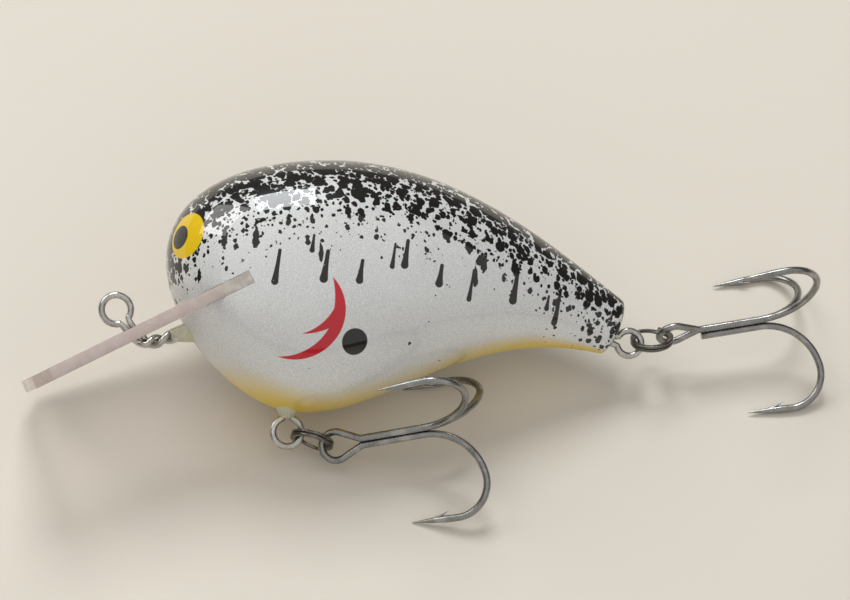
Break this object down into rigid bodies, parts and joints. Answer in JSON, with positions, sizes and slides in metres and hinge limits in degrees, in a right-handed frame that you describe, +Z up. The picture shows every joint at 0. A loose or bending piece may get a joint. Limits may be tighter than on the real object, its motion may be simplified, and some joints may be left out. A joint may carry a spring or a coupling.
{
  "type": "crankbait lure",
  "caption": "Fat-bodied wooden diving lure with a clear square lip, wire line tie and free-swinging treble hooks on split rings, lying at rest on its side.",
  "frame": {"origin": "centre of the bounding box, on the plane that the lure lies on", "axes": "+X from the nose towards the tail, +Z up from the plane, the lure's back towards +Y"},
  "size_m": [0.1124, 0.0466, 0.0286],
  "materials": {
    "painted_balsa": "pearl white paint with black splatter and a yellow belly, under gloss epoxy",
    "clear_lip": "clear polycarbonate sheet with polished edges",
    "slot_epoxy": "translucent epoxy",
    "belly_filler": "painted epoxy filler, gloss",
    "lead_ballast": "dull cast lead",
    "hanger_wire": "bright drawn stainless wire",
    "split_ring_steel": "dark nickel",
    "hook_steel": "black nickel"
  },
  "bodies": {
    "lure": {"body": "painted_balsa", "lip": "clear_lip", "lip_glue_left": "slot_epoxy", "lip_glue_right": "slot_epoxy", "nose_glue_collar": "slot_epoxy", "belly_plug": "belly_filler", "belly_ballast": "lead_ballast", "line_tie_wire": "hanger_wire", "belly_hanger": "hanger_wire", "tail_hanger": "hanger_wire"},
    "belly_ring": {"belly_split_ring": "split_ring_steel"},
    "belly_treble": {"belly_treble_double_hook": "hook_steel", "belly_treble_single_hook": "hook_steel"},
    "tail_ring": {"tail_split_ring": "split_ring_steel"},
    "tail_treble": {"tail_treble_double_hook": "hook_steel", "tail_treble_single_hook": "hook_steel"}
  },
  "joints": [
    {"name": "belly_ring_swing", "type": "hinge", "parent": "lure", "child": "belly_ring", "pos_m": [-0.01896, -0.01096, 0.00475], "axis": [-0.1045, 0.4822, -0.8698], "range_deg": [0, 100]},
    {"name": "belly_treble_swing", "type": "hinge", "parent": "belly_ring", "child": "belly_treble", "pos_m": [-0.01556, -0.01175, 0.0039], "axis": [0.2727, 0.935, 0.2269], "range_deg": [-15, 90]},
    {"name": "tail_ring_swing", "type": "hinge", "parent": "lure", "child": "tail_ring", "pos_m": [0.02867, 0.00205, 0.00624], "axis": [-0.1045, 0.4822, -0.8698], "range_deg": [-50, 90]},
    {"name": "tail_treble_swing", "type": "hinge", "parent": "tail_ring", "child": "tail_treble", "pos_m": [0.03191, 0.00265, 0.00618], "axis": [-0.0795, 0.5007, 0.8619], "range_deg": [-90, 90]}
  ]
}
